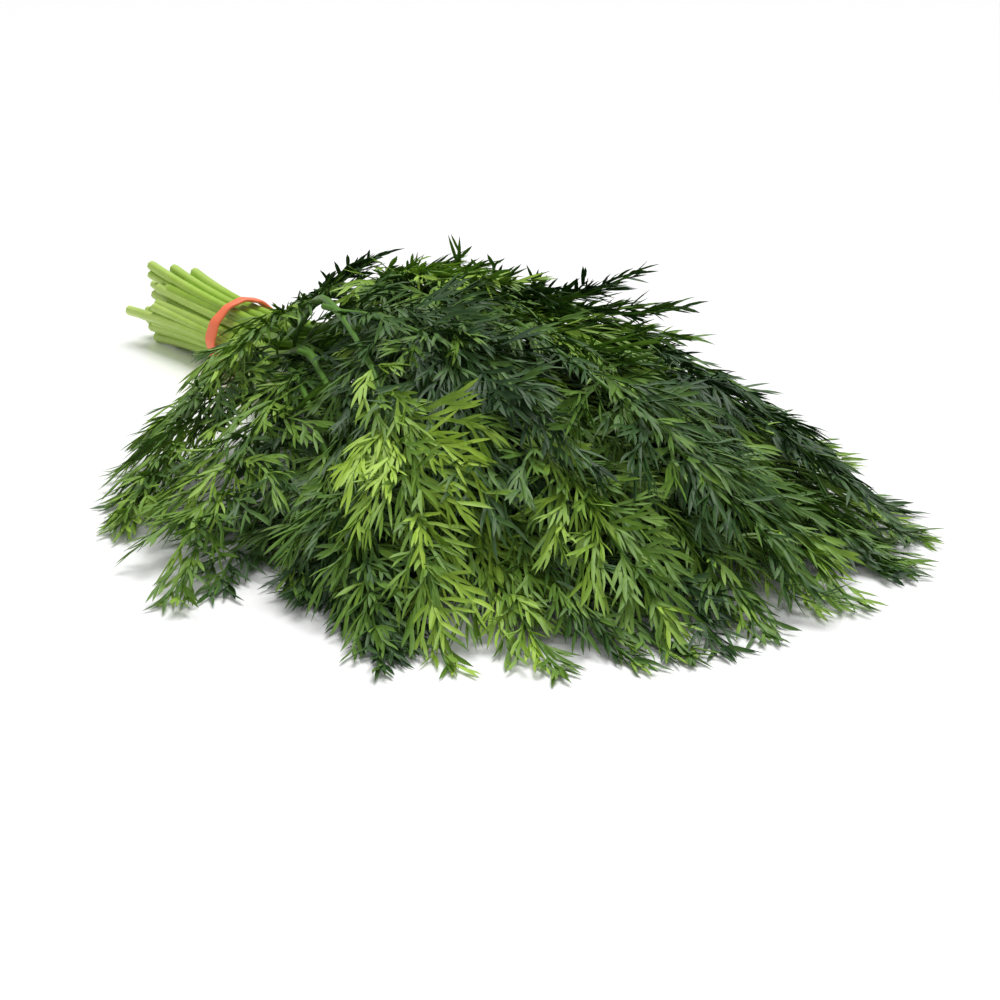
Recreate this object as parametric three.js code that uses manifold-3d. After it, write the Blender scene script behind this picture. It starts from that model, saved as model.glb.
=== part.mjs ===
// A bunch of fresh dill, tied with a rubber band and lying on a worktop.
//
// The cut ends of the stems point to -X and the leaves fan out to +X. Each leafy stem is one grown piece:
// a tapering stalk with two to four feathery fronds. The stems run side by side through the band and then
// spread into a heap that is highest a little short of its middle and runs out flat on the worktop at its
// rim. Every stem keeps to a level of its own in that heap, as stems laid on each other do. A frond is a
// thin arched blade, cut to its rib into pairs of forked leaflets.

import * as THREE from "three";
import { mergeVertices } from "three/addons/utils/BufferGeometryUtils.js";
import Module from "manifold-3d";

const wasm = await Module();
wasm.setup();

// The heap of leaves, in millimetres and degrees. Distances are from the band's middle.
const REACH = 284; // to the furthest leaf tips
const HEAP_HEIGHT = 62;
const HEAP_PEAK = 0.42; // where the heap is highest, as a share of the reach
const HEAP_FALL = 0.56; // from the peak to where the heap has come down to the worktop, as such a share
const SIDE_FALL = 0.78; // how much lower the heap is at the sides of the fan
const FAN_MIDDLE = -1; // the direction that the leaves fan about, from +X towards +Y
const FAN_HALF = 40;
const LEFT_NARROWING = 1.12; // the +Y side of the fan is this much narrower than the other side
const RIM_ROUNDING = 1.2; // how fast the reach falls off to the sides
const RIM_NARROWEST = 80;
const STEM_FAN = 31; // half the angle that the stems themselves spread to
const SPREAD_START = 42; // how softly the stems begin to spread
const LEVEL_START = 100; // where every stem has reached its own level
const LEVEL_STAGGER = 0.7; // how far the stems of one row lie on different levels, in rows

// The bundle of stalks at the band.
const ROWS = [3, 4, 5, 5, 4, 3]; // stems in each row, from the bottom
const STALK_RADIUS = 1.75;
const STEM_GAP = 0.3;
const STALK_TAIL = 50; // from the band to the cut ends
const TAIL_STAGGER = 8;
const TAIL_FLARE = 0.42; // how much the bundle widens again towards the cut ends
const TIP_RADIUS = 0.8;
const STALK_SIDES = 5;
const STALK_STATIONS = [-28, -4, 14, 32, 52, 74, 98, 126];
const NEAREST_STATION = 9; // a stretch of stalk this near a frond's base has no ring of its own

// The rubber band.
const BAND_WIDTH = 5;
const BAND_THICKNESS = 1.4;
const BAND_BEVEL = 0.5;
const BAND_FACETS = 24;

// A frond, drawn flat. Shares are of its own length.
const FROND_LENGTH = [106, 125];
const SHORTEST_FROND = 44;
const RIB_WIDTH = 1.9;
const RIB_TAPER = 0.4;
const BLADE_THICKNESS = 0.7;
const LEAFLETS = [
  { at: 0.24, length: 0.36, lean: 54, prongs: 3 },
  { at: 0.4, length: 0.32, lean: 50, prongs: 2 },
  { at: 0.56, length: 0.26, lean: 46, prongs: 2 },
  { at: 0.71, length: 0.19, lean: 42, prongs: 1 },
  { at: 0.85, length: 0.14, lean: 36, prongs: 1 },
];

// A leaflet's own shape. Shares are of the leaflet's length.
const PRONG_WIDTH = 1.7;
const PRONG_LEAN = 32; // of a side prong from its leaflet
const LOWER_PRONG = 0.38; // where the side prong towards the frond's base leaves
const LOWER_LENGTH = 0.5;
const UPPER_PRONG = 0.54; // where the one towards its tip leaves
const UPPER_LENGTH = 0.28; // short, so that it stays clear of the next leaflet
const PRONG_ROOT = 2.4; // how wide a side prong is where it leaves, in half widths

// The fronds that a stem can grow. The first carries on from the stem's end and the others leave it lower
// down. from is where on the stem, as a share of the reach there. Turn and curl are drawn between two
// angles, to the stem's own hand or against it. A frond grows only on stems above a level.
const FRONDS = [
  { from: [0.56, 0.62], turn: [-6, 6], curl: [-14, 14], hand: 1, above: 0, size: 1, lift: 0, sunk: 4 },
  { from: [0.34, 0.42], turn: [26, 38], curl: [-22, -4], hand: 1, above: 0, size: 1, lift: 0, sunk: 0.9 },
  { from: [0.18, 0.26], turn: [34, 50], curl: [-26, -4], hand: -1, above: 0.45, size: 1, lift: 0, sunk: 0.9 },
  { from: [0.09, 0.12], turn: [8, 24], curl: [0, 16], hand: 1, above: 0.85, size: 0.52, lift: 3, sunk: 0.9 },
];
const OUTER_LEVEL = 0.6; // above this the fronds stand off the heap a little
const OUTER_LIFT = [-3, 6];
const OUTER_WINGS = [0, 0.12]; // how much a frond's sides rise from its rib
const JOINT_LENGTH = 12; // over this a frond goes from its stalk's height to its level
const TILT_SPAN = 12; // the heap's slope under a frond is taken over twice this
const MOST_TILT = 0.5;

// How a frond finds its place between the other stems.
const CLEARANCE = 0.3;
const TURN_STEP = 3; // degrees that it is turned at a time
const MOST_TURNS = 11;
const SHORTER = [1, 0.85, 0.7, 0.5]; // the shares of its length that it is tried at

const SEED = 21; // which of the possible bunches is drawn
const GREEN = 0x3f7a2c;
const BAND_ORANGE = 0xf0683c;

const radians = THREE.MathUtils.degToRad;
const { clamp, lerp, smoothstep } = THREE.MathUtils;

// A repeatable draw between two numbers (Park and Miller's generator).
const SPREAD_OF_SEEDS = 7919;
const MULTIPLIER = 16807;
const MODULUS = 2147483647;

function dice(seed) {
  let state = seed * SPREAD_OF_SEEDS;
  const next = () => {
    state = (state * MULTIPLIER) % MODULUS;
    return state / MODULUS;
  };
  next();
  next();
  return ([low, high]) => low + (high - low) * next();
}

// The bundle's cross-section: rows of stalks set in each other's gaps. The upper half is set a quarter of a
// pitch to one side and the lower half to the other, because the two middle rows are alike.
const PITCH = 2 * STALK_RADIUS + STEM_GAP;
const ROW_RISE = PITCH * Math.sin(radians(60));
const ROW_OFFSET = 0.25;
const FAN_OFFSET = 0.1;
const HALF_ROWS = (ROWS.length - 1) / 2;
const outermost = Math.hypot(HALF_ROWS * ROW_RISE, ((ROWS[0] - 1) / 2 + ROW_OFFSET) * PITCH);
const bandInside = outermost + STALK_RADIUS + 2 * CLEARANCE;
const bandOutside = bandInside + BAND_THICKNESS;
const bandCentre = bandOutside * Math.cos(Math.PI / BAND_FACETS);

// How far aside of the fan's middle a direction is.
function asideOf(bearing) {
  const aside = bearing - radians(FAN_MIDDLE);
  return aside > 0 ? aside * LEFT_NARROWING : -aside;
}

// How far the leaves reach in a direction, and the heap's height at a point.
function rimAt(bearing) {
  return REACH * Math.cos(Math.min(radians(RIM_NARROWEST), RIM_ROUNDING * asideOf(bearing)));
}

function heapAt(x, y) {
  const bearing = Math.atan2(y, x);
  const out = Math.hypot(x, y) / rimAt(bearing);
  const along = 1 - ((out - HEAP_PEAK) / HEAP_FALL) ** 2;
  const aside = asideOf(bearing) / radians(FAN_HALF);
  return HEAP_HEIGHT * Math.max(0, along) * Math.max(0, 1 - SIDE_FALL * aside ** 2);
}

// The height of a level, 0 at the worktop and 1 at the heap's top. Near the band the levels are the rows of
// stalks.
function levelHeight(level, x, y) {
  const inBundle = bandCentre + (level - 0.5) * ROWS.length * ROW_RISE;
  const inHeap = BLADE_THICKNESS / 2 + level * heapAt(x, y);
  return lerp(inBundle, inHeap, smoothstep(x, 0, LEVEL_START));
}

// A stem's place in the bundle, its bearing in the fan and its level in the heap.
function stemPlan(row, column) {
  const count = ROWS[row];
  const side = row < ROWS.length / 2 ? -1 : 1;
  const share = (column + 0.5 + FAN_OFFSET * side) / count;
  const fan = STEM_FAN * (2 * share - 1);
  const stagger = (((column * 2 + row) % count) + 0.5) / count - 0.5;
  return {
    across: (column - (count - 1) / 2 + ROW_OFFSET * side) * PITCH,
    height: bandCentre + (row - HALF_ROWS) * ROW_RISE,
    bearing: radians(FAN_MIDDLE + (fan > 0 ? fan / LEFT_NARROWING : fan)),
    level: (row + 0.5 + LEVEL_STAGGER * stagger) / ROWS.length,
  };
}

// A point on a stem's middle line.
function stemPoint(stem, x) {
  if (x < 0) {
    const flare = 1 + TAIL_FLARE * (x / STALK_TAIL) ** 2;
    const height = bandCentre + (stem.height - bandCentre) * flare;
    return new THREE.Vector3(x, stem.across * flare, Math.max(STALK_RADIUS, height));
  }
  const y = stem.across + Math.tan(stem.bearing) * (x ** 2 / (x + SPREAD_START));
  const settled = smoothstep(x, 0, LEVEL_START);
  return new THREE.Vector3(x, y, lerp(stem.height, levelHeight(stem.level, x, y), settled));
}

// Draws a stem's lengths and its fronds.
function growStem(stem, index) {
  const draw = dice(index + SEED);
  const rim = rimAt(stem.bearing);
  const isOuter = stem.level > OUTER_LEVEL;
  const ownHand = index % 2 ? 1 : -1;
  stem.name = `leafy_stem_${String(index + 1).padStart(2, "0")}`;
  stem.tail = STALK_TAIL + draw([-TAIL_STAGGER, TAIL_STAGGER]);
  stem.fronds = [];
  for (const kind of FRONDS.filter(({ above }) => stem.level > above)) {
    const hand = kind.hand * ownHand;
    const frond = {
      from: rim * draw(kind.from),
      turn: hand * draw(kind.turn),
      curl: hand * draw(kind.curl),
      length: draw(FROND_LENGTH) * kind.size,
      lift: isOuter ? kind.lift + draw(OUTER_LIFT) : 0,
      wings: isOuter ? draw(OUTER_WINGS) : 0,
      sunk: kind.sunk,
    };
    while (isPastRim(stem, frond) && frond.length > SHORTEST_FROND) {
      frond.length -= 2;
    }
    if (frond.length > SHORTEST_FROND) {
      stem.fronds.push(frond);
    }
  }
}

function isPastRim(stem, frond) {
  const tip = frondPlace(stem, frond)(frond.length, 0);
  return Math.hypot(tip.x, tip.y) > rimAt(Math.atan2(tip.y, tip.x));
}

// Where a frond lies: it leaves its stalk, turns and runs along the stalk's level, tilted as the heap is
// there.
function frondPlace(stem, frond) {
  const start = stemPoint(stem, frond.from);
  const ahead = stemPoint(stem, frond.from + 1).sub(start);
  const heading = Math.atan2(ahead.y, ahead.x) + radians(frond.turn);
  return (along, across) => {
    const share = along / frond.length;
    const swing = heading + radians(frond.curl) * share;
    const course = heading + (radians(frond.curl) * share) / 2;
    const rib = new THREE.Vector2(Math.cos(course), Math.sin(course)).multiplyScalar(along).add(start);
    const beside = (off) => [rib.x - off * Math.sin(swing), rib.y + off * Math.cos(swing)];
    const level = (off) => levelHeight(stem.level, ...beside(off));
    const slope = clamp((level(TILT_SPAN) - level(-TILT_SPAN)) / (2 * TILT_SPAN), -MOST_TILT, MOST_TILT);
    const joined = smoothstep(along, 0, JOINT_LENGTH);
    const lifted = frond.lift * Math.max(0, share) ** 2 + frond.wings * Math.abs(across);
    const height = lerp(start.z, level(0) + slope * across, joined) + lifted;
    return new THREE.Vector3(...beside(across), Math.max(BLADE_THICKNESS / 2, height));
  };
}

// Joins geometry into closed solids, and back.
function solidOf(positions, triangles) {
  return new wasm.Manifold(
    new wasm.Mesh({
      numProp: 3,
      vertProperties: new Float32Array(positions.flatMap((point) => point.toArray())),
      triVerts: new Uint32Array(triangles.flat()),
    }),
  );
}

function geometryOf(solid) {
  const mesh = solid.getMesh();
  const positions = new Float32Array(mesh.numVert * 3);
  for (let i = 0; i < mesh.numVert; i++) {
    positions.set(mesh.vertProperties.subarray(i * mesh.numProp, i * mesh.numProp + 3), i * 3);
  }
  const geometry = new THREE.BufferGeometry();
  geometry.setAttribute("position", new THREE.BufferAttribute(positions, 3));
  geometry.setIndex(new THREE.BufferAttribute(mesh.triVerts, 1));
  geometry.computeVertexNormals();
  return geometry;
}

// A tapering tube through points, with flat ends.
function taperedTube(points, radii, sides) {
  const positions = [];
  const triangles = [];
  const last = points.length - 1;
  points.forEach((point, i) => {
    const along = points[Math.min(i + 1, last)].clone().sub(points[Math.max(i - 1, 0)]).normalize();
    const aside = new THREE.Vector3(0, 0, 1).cross(along).normalize();
    const up = along.clone().cross(aside);
    for (let k = 0; k < sides; k++) {
      const turn = ((k + 0.5) / sides) * 2 * Math.PI;
      const spoke = aside.clone().multiplyScalar(Math.sin(turn)).addScaledVector(up, -Math.cos(turn));
      positions.push(point.clone().addScaledVector(spoke, radii[i]));
    }
  });
  for (let i = 0; i < last; i++) {
    for (let k = 0; k < sides; k++) {
      const a = i * sides + k;
      const b = i * sides + ((k + 1) % sides);
      triangles.push([a, b, b + sides], [a, b + sides, a + sides]);
    }
  }
  const end = last * sides;
  for (let k = 1; k < sides - 1; k++) {
    triangles.push([0, k + 1, k], [end, end + k, end + k + 1]);
  }
  return solidOf(positions, triangles);
}

// A thin plate: a flat outline, as points along and across a frond, laid on the surface that place gives.
// Its panels list which points go round each piece that it is made up of. A panel is divided into
// triangles as it lies, seen from above.
function blade({ outline, panels }, place, thickness) {
  const count = outline.length;
  const offsets = outline.map(({ x, y }) => {
    const here = place(x, y);
    const along = place(x + 1, y).sub(here);
    const across = place(x, y + 1).sub(here);
    return { here, up: along.cross(across).setLength(thickness / 2) };
  });
  const positions = [
    ...offsets.map(({ here, up }) => here.clone().add(up)),
    ...offsets.map(({ here, up }) => here.clone().sub(up)),
  ];
  const triangles = [];
  for (const panel of panels) {
    const fromAbove = panel.map((i) => new THREE.Vector2(offsets[i].here.x, offsets[i].here.y));
    for (const corners of THREE.ShapeUtils.triangulateShape(fromAbove, [])) {
      const [a, b, c] = corners.map((k) => panel[k]);
      triangles.push([a, b, c], [a + count, c + count, b + count]);
    }
  }
  for (let i = 0; i < count; i++) {
    const next = (i + 1) % count;
    triangles.push([i, i + count, next + count], [i, next + count, next]);
  }
  return solidOf(positions, triangles);
}

// Half the width of a frond's rib, at a share of its length.
function ribHalf(share) {
  return (RIB_WIDTH / 2) * (1 - RIB_TAPER * share ** 2);
}

// The outline of one leaflet on one side of the rib, in order from the base of the frond to its tip. Its
// first and last points are on the rib. It is narrow, with a side prong towards the base and a second
// towards the tip if it has them. Where a leaflet is left off, the rib keeps its two points.
function leafletOutline(leaflet, side, length, isThere = true) {
  const lean = radians(leaflet.lean) * side;
  const axis = new THREE.Vector2(Math.cos(lean), Math.sin(lean));
  const aside = new THREE.Vector2(-axis.y * side, axis.x * side);
  const root = new THREE.Vector2(leaflet.at * length, 0);
  const long = leaflet.length * length;
  const half = PRONG_WIDTH / 2;
  const spread = half / Math.sin(radians(leaflet.lean));
  const lead = (RIB_WIDTH / 2) * Math.abs(axis.x / axis.y);
  const point = (out, off) => root.clone().addScaledVector(axis, out).addScaledVector(aside, off);
  const prongTip = new THREE.Vector2(Math.cos(radians(PRONG_LEAN)), Math.sin(radians(PRONG_LEAN)));
  const prong = (from, prongLength, facing) => [
    point(from - half, facing * half),
    point(from + prongLength * prongTip.x, facing * (half + prongLength * prongTip.y)),
    point(from + PRONG_ROOT * half, facing * half),
  ];
  const onRib = (x) => new THREE.Vector2(x, side * ribHalf(x / length));
  const ends = [onRib(root.x - spread), onRib(root.x + spread + lead)];
  if (!isThere) {
    return ends;
  }
  return [
    ends[0],
    ...(leaflet.prongs > 1 ? prong(LOWER_PRONG * long, LOWER_LENGTH * long, 1) : []),
    point(long, 0),
    ...(leaflet.prongs > 2 ? prong(UPPER_PRONG * long, UPPER_LENGTH * long, -1).reverse() : []),
    ends[1],
  ];
}

// A leaflet by itself, as an anticlockwise outline of one panel.
function leafletShape(leaflet, side, length) {
  const points = leafletOutline(leaflet, side, length);
  return { outline: side > 0 ? points.reverse() : points, panels: [points.map((_, i) => i)] };
}

// A whole frond's outline: along the right side, round the tip and back along the left, anticlockwise.
// Left and right list the leaflets that are there. Each leaflet is a panel, and so is each stretch of rib.
function frondShape({ length, sunk }, left, right) {
  const outline = [new THREE.Vector2(-sunk, ribHalf(0)), new THREE.Vector2(-sunk, -ribHalf(0))];
  const addPoints = (points) => points.map((point) => outline.push(point) - 1);
  const rightRuns = LEAFLETS.map((leaflet) => {
    return addPoints(leafletOutline(leaflet, -1, length, right.includes(leaflet)));
  });
  const [tip] = addPoints([new THREE.Vector2(length, 0)]);
  const leftRuns = [...LEAFLETS].reverse().map((leaflet) => {
    return addPoints(leafletOutline(leaflet, 1, length, left.includes(leaflet)).reverse());
  });
  const rightEdge = [1, ...rightRuns.flatMap((run) => [run[0], run.at(-1)]), tip];
  const leftEdge = [0, ...[...leftRuns].reverse().flatMap((run) => [run.at(-1), run[0]]), tip];
  const panels = [...rightRuns, ...leftRuns].filter((run) => run.length > 2);
  for (let i = 1; i < rightEdge.length; i++) {
    const stretch = [leftEdge[i - 1], rightEdge[i - 1], rightEdge[i], leftEdge[i]];
    panels.push([...new Set(stretch)]);
  }
  return { outline, panels };
}

// The stalk of a stem, with a ring at each frond's base so that the frond's rib starts inside it.
function stalk(stem) {
  const bases = stem.fronds.map((frond) => frond.from);
  const end = Math.max(...bases);
  const isFree = (x) => x < end && bases.every((base) => Math.abs(base - x) > NEAREST_STATION);
  const stations = [-stem.tail, ...STALK_STATIONS.filter(isFree), ...bases].sort((a, b) => a - b);
  const radii = stations.map((x) => lerp(STALK_RADIUS, TIP_RADIUS, smoothstep(x, 0.1 * end, end)));
  return taperedTube(stations.map((x) => stemPoint(stem, x)), radii, STALK_SIDES);
}

// A frond, bent clear of the other stems. It is turned a little further, and then drawn shorter, until it
// touches none of them. A leaflet that would still touch one, or another frond of its own, is left off,
// and so is a frond that finds no clear place.
function clearFrond(stem, frond, others) {
  for (const share of SHORTER) {
    for (let attempt = 0; attempt < MOST_TURNS; attempt++) {
      const away = Math.ceil(attempt / 2) * (attempt % 2 ? TURN_STEP : -TURN_STEP);
      const tried = { ...frond, turn: frond.turn + away, length: frond.length * share };
      const shape = clearShape(stem, tried, others);
      if (shape) {
        return blade(shape, frondPlace(stem, tried), BLADE_THICKNESS);
      }
    }
  }
  return null;
}

function clearShape(stem, frond, others) {
  const place = frondPlace(stem, frond);
  const touches = (solids, shape) => {
    const padded = blade(shape, place, BLADE_THICKNESS + 2 * CLEARANCE);
    return solids.some((solid) => solid.intersect(padded).volume() > 0);
  };
  if (touches(others, frondShape(frond, [], []))) {
    return null;
  }
  const isClear = (leaflet, side) => {
    return !touches([...others, stem.solid], leafletShape(leaflet, side, frond.length));
  };
  const left = LEAFLETS.filter((leaflet) => isClear(leaflet, 1));
  const right = LEAFLETS.filter((leaflet) => isClear(leaflet, -1));
  const whole = frondShape(frond, left, right);
  return touches(others, whole) ? null : whole;
}

// The band is a ring of flats round the bundle, and the lowest flat lies on the worktop.
function rubberBand() {
  const half = BAND_WIDTH / 2;
  const profile = [
    [bandInside, -half + BAND_BEVEL],
    [bandInside + BAND_BEVEL, -half],
    [bandOutside - BAND_BEVEL, -half],
    [bandOutside, -half + BAND_BEVEL],
    [bandOutside, half - BAND_BEVEL],
    [bandOutside - BAND_BEVEL, half],
    [bandInside + BAND_BEVEL, half],
    [bandInside, half - BAND_BEVEL],
    [bandInside, -half + BAND_BEVEL],
  ].map(([x, y]) => new THREE.Vector2(x, y));
  const ring = new THREE.LatheGeometry(profile, BAND_FACETS);
  ring.rotateY(Math.PI / BAND_FACETS);
  ring.rotateZ(Math.PI / 2);
  ring.translate(0, 0, bandCentre);
  ring.deleteAttribute("normal");
  ring.deleteAttribute("uv");
  return mergeVertices(ring, 1e-4);
}

function namedMesh(name, geometry, material) {
  const mesh = new THREE.Mesh(geometry, material);
  mesh.name = name;
  return mesh;
}

// Every stalk is laid first, and then the fronds are added from the top of the heap down.
const stems = ROWS.flatMap((count, row) => {
  return Array.from({ length: count }, (_, column) => stemPlan(row, column));
});
stems.forEach(growStem);
for (const stem of stems) {
  stem.solid = stalk(stem);
}
for (const stem of [...stems].sort((a, b) => b.level - a.level)) {
  const others = stems.filter((other) => other !== stem).map((other) => other.solid);
  for (const frond of stem.fronds) {
    const grown = clearFrond(stem, frond, others);
    stem.solid = grown ? stem.solid.add(grown) : stem.solid;
  }
}

const leaf = new THREE.MeshStandardMaterial({ color: GREEN, roughness: 0.55, metalness: 0 });
const rubber = new THREE.MeshStandardMaterial({ color: BAND_ORANGE, roughness: 0.6, metalness: 0 });
const bunch = new THREE.Group();
for (const stem of stems) {
  bunch.add(namedMesh(stem.name, geometryOf(stem.solid), leaf));
}
bunch.add(namedMesh("rubber_band", rubberBand(), rubber));

// The origin is on the worktop, under the middle of the whole bunch.
const middle = new THREE.Box3().setFromObject(bunch).getCenter(new THREE.Vector3());
bunch.position.set(-middle.x, -middle.y, 0);
const part = new THREE.Group();
part.add(bunch);

export default part;
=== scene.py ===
"""A bunch of fresh dill, tied with a rubber band and lying on a white worktop.

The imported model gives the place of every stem. Each leafy stem is grown again here from the same
rule, in fine detail: a ribbed stalk, round ribs, and leaves that are cut three times over into
narrow ribbons.
"""

import math
import random

import bmesh
import bpy
import numpy as np
from bpy.props import FloatProperty, PointerProperty, StringProperty
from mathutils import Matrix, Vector


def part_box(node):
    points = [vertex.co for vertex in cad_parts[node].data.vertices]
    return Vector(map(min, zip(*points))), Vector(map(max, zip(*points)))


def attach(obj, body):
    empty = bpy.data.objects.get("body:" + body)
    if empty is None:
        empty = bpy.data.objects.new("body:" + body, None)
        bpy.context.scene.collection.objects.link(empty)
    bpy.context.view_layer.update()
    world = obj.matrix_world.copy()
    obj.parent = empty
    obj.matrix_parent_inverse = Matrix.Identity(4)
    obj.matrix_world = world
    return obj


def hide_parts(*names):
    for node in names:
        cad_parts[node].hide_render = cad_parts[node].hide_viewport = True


bl_info = {
    "name": "Dill bunch",
    "version": (1, 0, 0),
    "blender": (4, 5, 0),
    "location": "View3D > Sidebar > Dill",
    "description": "Builds a tied bunch of fresh dill around its packed model",
    "category": "Object",
}

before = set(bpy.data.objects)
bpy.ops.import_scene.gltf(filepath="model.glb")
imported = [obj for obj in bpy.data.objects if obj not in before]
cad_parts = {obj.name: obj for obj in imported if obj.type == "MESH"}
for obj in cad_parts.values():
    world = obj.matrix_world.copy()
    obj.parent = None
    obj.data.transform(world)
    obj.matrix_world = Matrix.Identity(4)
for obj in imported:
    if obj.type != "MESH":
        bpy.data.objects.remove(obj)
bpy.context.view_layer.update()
MM = 0.001

# The heap of leaves, in millimetres from the band's middle on the worktop, as the solids have it.
REACH = 284
HEAP_HEIGHT = 62
HEAP_PEAK = 0.42  # where the heap is highest, as a share of its reach
HEAP_FALL = 0.56  # how far from there it comes down to the worktop
SIDE_FALL = 0.78  # how much of its height it loses at the sides of the fan
FAN_MIDDLE = math.radians(-1)
FAN_HALF = math.radians(40)
LEFT_NARROWING = 1.12  # the +Y side of the fan is this much narrower than the other side
RIM_ROUNDING = 1.2
RIM_NARROWEST = math.radians(80)
STEM_FAN = math.radians(31)
SPREAD_START = 42
LEVEL_START = 100
LEVEL_STAGGER = 0.7
WORKTOP_SOFTNESS = 1.2  # how gently leaves come down onto the worktop

# The bundle of stalks.
ROWS = [3, 4, 5, 5, 4, 3]
STALK_RADIUS = 1.75
STEM_GAP = 0.3
STALK_TAIL = 50
TAIL_STAGGER = 8
TAIL_FLARE = 0.42
TIP_RADIUS = 0.8
TAPER_START = 0.1
PITCH = 2 * STALK_RADIUS + STEM_GAP
ROW_RISE = PITCH * math.sin(math.radians(60))
ROW_OFFSET = 0.25
FAN_OFFSET = 0.1
HALF_ROWS = (len(ROWS) - 1) / 2

# The fronds of a stem: where each leaves the stem as a share of the stem's reach, its turn and its
# curl in degrees, its side, the level over which a stem has it, its size and its tip's rise.
FROND_LENGTH = (106, 125)
SHORTEST_FROND = 44
LENGTH_STEP = 2
BLADE_THICKNESS = 0.7
FRONDS = [
    ((0.56, 0.62), (-6, 6), (-14, 14), 1, 0, 1, 0),
    ((0.34, 0.42), (26, 38), (-22, -4), 1, 0, 1, 0),
    ((0.18, 0.26), (34, 50), (-26, -4), -1, 0.45, 1, 0),
    ((0.09, 0.12), (8, 24), (0, 16), 1, 0.85, 0.52, 3),
]
OUTER_LEVEL = 0.6  # stems over this level lie on top, where fronds lift and fold up a little
OUTER_LIFT = (-3, 6)
OUTER_WINGS = (0, 0.12)
JOINT_LENGTH = 12
TILT_SPAN = 12
MOST_TILT = 0.5

# How the solids turned and shortened fronds to clear their neighbours, and how they draw numbers.
TURN_STEP = 3
MOST_TURNS = 11
SHORTER = [1, 0.85, 0.7, 0.5]
SEED = 21
SPREAD_OF_SEEDS = 7919
MULTIPLIER = 16807
MODULUS = 2147483647
TIP_MATCH = 0.6  # a solid's leaf tip is this near the place that its rule gives

# The leaf's first division, its pinnae: where each pair leaves the rib and its length, as shares
# of the frond, and its lean in degrees.
PINNAE = [
    (0.24, 0.36, 50),
    (0.33, 0.27, 44),
    (0.40, 0.32, 46),
    (0.49, 0.24, 40),
    (0.56, 0.26, 40),
    (0.64, 0.20, 34),
    (0.71, 0.19, 34),
    (0.78, 0.16, 29),
    (0.85, 0.14, 27),
    (0.91, 0.10, 22),
    (0.96, 0.07, 16),
]
# More of them stand up from the rib and arch over it, so that the leaf is as bushy as a real one.
UPPER_PINNAE = [
    (0.03, 0.20, 26),
    (0.13, 0.24, 24),
    (0.22, 0.26, 20),
    (0.32, 0.25, 18),
    (0.43, 0.23, 16),
    (0.55, 0.20, 14),
    (0.68, 0.17, 12),
    (0.80, 0.13, 10),
]
GAPS = 0.12  # this share of the leaflets has been lost or folded away
BURIED_LEVEL = 0.36  # below this a leaf is seen only at its tips

# How the pinnae rise and fall again, and how each strays from the rule. Leans and bends, here and
# in the next divisions, are in degrees.
PINNA_RISE = (-0.05, 0.38)
PINNA_FALL = (0.5, 1.5)
UPPER_RISE = (0.3, 0.66)
UPPER_FALL = (0.55, 1.05)
LEAST_FALL = 0.12
PINNA_LENGTH = (0.84, 1.08)
PINNA_PLACE = (-0.014, 0.014)
PINNA_LEAN = (-9, 7)
PINNA_BEND = (0, 26)
PINNA_WIDTH = (0.9, 1.1)
PINNA_TONE = (-0.17, 0.2)
PINNA_BANK = (-0.6, 0.6)
AXIS_WIDTH = 1.1  # how much wider a pinna's own ribbon is than its pinnules

# The second division, the pinnules, which stand in staggered pairs along a pinna.
PINNULES_FROM = 0.1
PINNULES_TO = 0.86
FOOT_GAP = 1.2
LAST_PINNULE = 0.95
PINNULE_SHARE = 0.62  # the longest pinnule against its pinna
PINNULE_TAPER = (1.04, 0.5)
PINNULE_PLACE = (-0.03, 0.06)
PINNULE_LENGTH = (0.78, 1.14)
PINNULE_LEAN = (17, 30)
PINNULE_RISE = (-0.34, 0.3)
PINNULE_BEND = (-8, 30)
PINNULE_SAG = (-0.004, 0.018)
PINNULE_WIDTH = (0.78, 1.2)
PINNULE_TONE = (-0.05, 0.07)
PINNULE_BANK = (-0.6, 0.6)
SPACING_STRAY = (0.85, 1.15)

# The third division: where a fork leaves its pinnule and its length, as shares of the pinnule. A
# pinnule has one for each of the lengths in FORKED_OVER that it is longer than.
FORKS = [(0.26, 0.62), (0.46, 0.5), (0.62, 0.4)]
FORKED_OVER = (9.5, 13.0, 17.0)
SHORTEST_FORK = 0.75  # of the shortest pinnule
FORK_LEAN = (16, 27)
FORK_RISE = (-0.18, 0.18)
FORK_BEND = (-4, 26)
FORK_WIDTH = (0.85, 1.0)
FORK_BANK = (-0.25, 0.25)

# Loose sprays that stand clear of the heap: the stem, where the spray leaves it in mm from the
# band, its turn and its curl in degrees, its length and how far its tip rises in mm.
LOOSE_SPRAYS = [
    (23, 46, 40, 22, 42, 18),
    (24, 40, 60, 10, 46, 17),
    (22, 62, -30, -20, 58, 9),
    (23, 92, -4, 24, 58, 10),
    (24, 84, 26, -34, 66, 24),
    (24, 104, 6, 30, 58, 21),
    (21, 100, 12, 26, 60, 18),
    (21, 84, 34, -22, 62, 17),
    (19, 74, 14, 14, 56, 10),
    (20, 128, -8, 26, 58, 12),
]

# Shares of a ribbon's full half width along it, from its foot to its point.
LONG_PROFILE = (0.66, 0.94, 1.0, 0.74, 0.06)
SHORT_PROFILE = (0.7, 1.0, 0.84, 0.06)
SHORT_LENGTH = 9.5  # the longest ribbon with the short profile
AXIS_PROFILE = (0.7, 0.64, 0.68, 0.8, 0.72, 0.07)
FLOOR_GAPS = (0.25, 1.6)  # how far over the worktop ribbons come to rest

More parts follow.
